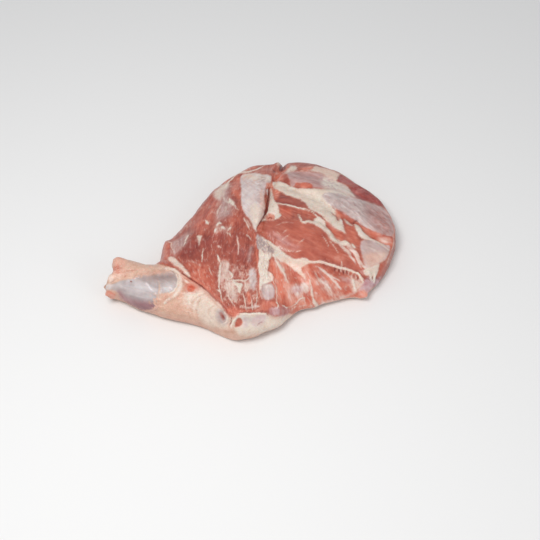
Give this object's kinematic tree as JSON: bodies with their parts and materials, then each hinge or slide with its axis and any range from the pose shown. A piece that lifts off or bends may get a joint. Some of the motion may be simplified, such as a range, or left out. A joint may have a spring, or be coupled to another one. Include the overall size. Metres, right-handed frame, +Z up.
{
  "type": "raw lamb shoulder",
  "caption": "Whole raw bone-in lamb shoulder with its foreshank, lying rib side up: red breast sheet, oval muscle, fat seams and silverskin; a solid food prop.",
  "frame": {"origin": "middle of the bounding box at the flat underside, where the meat rests", "axes": "+X from the shank to the blade end, the longest way; +Y from the elbow to the notched back edge; +Z up through the rib side"},
  "size_m": [0.358, 0.282, 0.0699],
  "materials": {
    "raw_lamb": "moist raw lean meat with cream fat and pearly silverskin, softly glossy"
  },
  "bodies": {
    "root": {"lamb_shoulder": "raw_lamb"}
  },
  "joints": []
}
